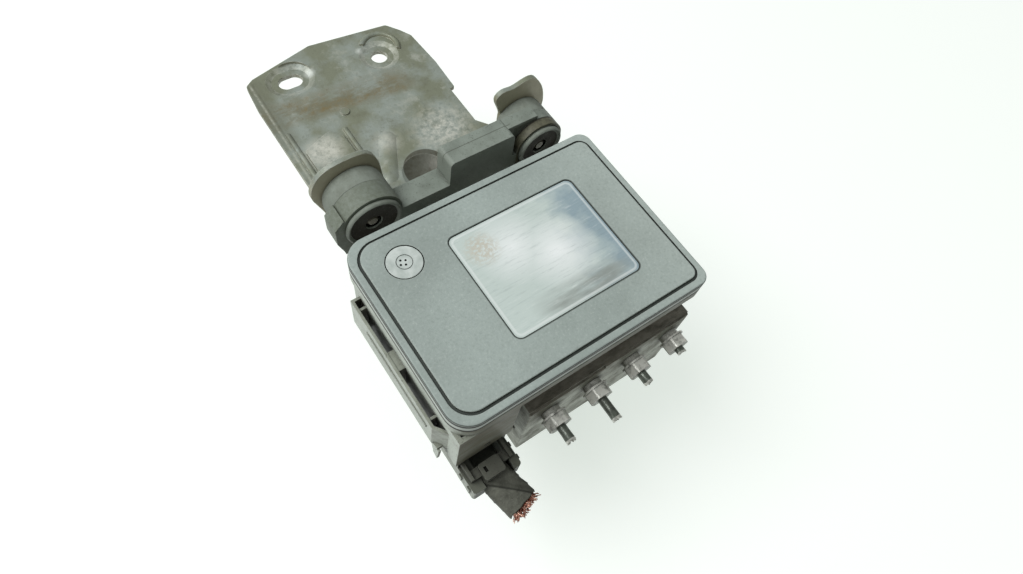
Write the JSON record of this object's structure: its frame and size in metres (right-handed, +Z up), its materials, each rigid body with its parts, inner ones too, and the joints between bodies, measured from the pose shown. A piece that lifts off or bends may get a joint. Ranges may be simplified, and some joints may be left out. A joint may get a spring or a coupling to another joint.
{
  "type": "brake pressure module",
  "caption": "Brake pressure control module: aluminium valve block with pump motor, plastic control unit and harness plug, hung from a steel bracket on rubber mounts.",
  "frame": {"origin": "centre of the pump motor's flat end face, on which the unit stands", "axes": "+Z up the motor axis to the cover, +X along the cover's long side, +Y towards the bracket"},
  "size_m": [0.1423, 0.276, 0.1544],
  "materials": {
    "cover_plastic": "fine grained black moulding, dusty",
    "housing_plastic": "black moulding with dirt",
    "cradle_plastic": "black moulding",
    "plug_plastic": "black moulding",
    "lock_plastic": "dark grey moulding",
    "label_foil": "worn silver foil",
    "chip_plastic": "black",
    "board": "green solder mask",
    "tinned_brass": "tinned",
    "seal_rubber": "black",
    "mount_rubber": "black",
    "coil_steel": "yellow zinc",
    "zinc_steel": "zinc plated",
    "turned_steel": "turned",
    "spring_steel": "spring steel",
    "stud_steel": "zinc plated, worn bright at the tip",
    "can_steel": "drawn steel, dull zinc",
    "nut_steel": "dirty zinc",
    "pipe_steel": "dark coated steel",
    "block_aluminium": "machined, dirty",
    "piston_aluminium": "turned",
    "copper": "copper",
    "ferrite": "magnet ferrite",
    "carbon": "carbon",
    "tape": "dark taped bundle",
    "wire": "insulated copper wire",
    "bracket_paint": "dark grey coated sheet, dusty, with rust"
  },
  "bodies": {
    "module": {"accumulator_caps": "turned_steel", "accumulator_pistons": "piston_aluminium", "accumulator_springs": "spring_steel", "board_components": "chip_plastic", "bracket": "bracket_paint", "brake_nut_1": "nut_steel", "brake_nut_2": "nut_steel", "brake_nut_3": "nut_steel", "brake_nut_4": "nut_steel", "brush_plate": "chip_plastic", "brushes": "carbon", "circuit_board": "board", "connector_pins": "tinned_brass", "cradle": "cradle_plastic", "cradle_screws": "zinc_steel", "ecu_cover": "cover_plastic", "ecu_housing": "housing_plastic", "ecu_screws": "zinc_steel", "ecu_seal": "seal_rubber", "grommet_left": "mount_rubber", "grommet_right": "mount_rubber", "hydraulic_block": "block_aluminium", "label_plate": "label_foil", "motor_bearings": "turned_steel", "motor_can": "can_steel", "motor_end_shield": "zinc_steel", "motor_flange": "can_steel", "motor_lead": "chip_plastic", "motor_magnets": "ferrite", "motor_screws": "zinc_steel", "mount_stud_left": "stud_steel", "mount_stud_right": "stud_steel", "pipe_stub_1": "pipe_steel", "pipe_stub_2": "pipe_steel", "pipe_stub_3": "pipe_steel", "pipe_stub_4": "pipe_steel", "pump_liners": "turned_steel", "pump_pistons": "turned_steel", "pump_plugs": "block_aluminium", "pump_springs": "spring_steel", "solenoid_coils": "coil_steel", "solenoid_valves": "turned_steel", "vent_cap": "cover_plastic"},
    "plug": {"plug_body": "plug_plastic", "plug_cover": "plug_plastic", "harness_stub": "tape", "wire_ends": "wire"},
    "lock": {"slide_lock": "lock_plastic"},
    "rotor": {"motor_shaft": "turned_steel", "armature_core": "turned_steel", "armature_winding": "copper", "commutator": "copper", "eccentric_ring": "turned_steel"}
  },
  "joints": [
    {"name": "plug_slide", "type": "slide", "parent": "module", "child": "plug", "axis": [0, 0, -1], "range_m": [0, 0.008]},
    {"name": "lock_slide", "type": "slide", "parent": "plug", "child": "lock", "axis": [0, -1, 0], "range_m": [0, 0.012]},
    {"name": "rotor_spin", "type": "hinge", "parent": "module", "child": "rotor", "pos_m": [0, 0, 0.04], "axis": [0, 0, 1], "continuous": true}
  ],
  "couplings": [
    {"joint": "lock_slide", "follows": "plug_slide", "ratio": 1.5}
  ]
}
